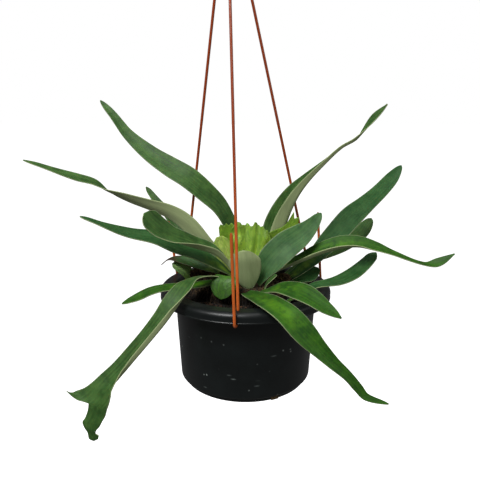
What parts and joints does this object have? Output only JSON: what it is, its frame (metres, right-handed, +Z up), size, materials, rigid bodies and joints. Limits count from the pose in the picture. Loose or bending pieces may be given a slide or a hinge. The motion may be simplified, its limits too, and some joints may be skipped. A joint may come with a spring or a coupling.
{
  "type": "staghorn fern in hanging pot",
  "caption": "Staghorn fern with long strap-like and forked fronds over lime green shield fronds, in a black pot hung from one hook by stiff wires.",
  "frame": {"origin": "the seat of the hook, inside the top of its open bend, where the hanger bears on its rail", "axes": "+Z up; +X to the right and +Y to the back as the plant is seen from its front"},
  "size_m": [0.4995, 0.2409, 0.6206],
  "materials": {
    "pot_plastic": "moulded black polypropylene, satin",
    "potting_mix": "damp bark and peat mix",
    "root_fibre": "brown root fibre and coir",
    "hanger_plastic": "burnt orange moulded plastic",
    "frond_green": "thick leathery leaf with pale felt below",
    "shield_lime": "soft young leaf with raised veins"
  },
  "bodies": {
    "root": {"pot": "pot_plastic", "potting_mix": "potting_mix", "root_mound": "root_fibre", "wire_front": "hanger_plastic", "wire_right": "hanger_plastic", "wire_left": "hanger_plastic", "hook": "hanger_plastic", "frond_tall_left": "frond_green", "frond_long_left": "frond_green", "frond_rear_left": "frond_green", "frond_flat_left": "frond_green", "frond_upturned_left": "frond_green", "frond_short_left": "frond_green", "frond_dry_tip": "frond_green", "frond_tall_right": "frond_green", "frond_broad_right": "frond_green", "frond_rear_right": "frond_green", "frond_long_right": "frond_green", "frond_wide_right": "frond_green", "frond_young_front": "frond_green", "frond_front_long": "frond_green", "frond_front_short": "frond_green", "frond_curved_right": "frond_green", "frond_small_right": "frond_green", "frond_small_front": "frond_green", "frond_forked": "frond_green", "shield_left": "shield_lime", "shield_back": "shield_lime", "shield_middle": "shield_lime", "shield_right": "shield_lime", "shield_front": "shield_lime", "shield_small": "shield_lime"}
  },
  "joints": []
}
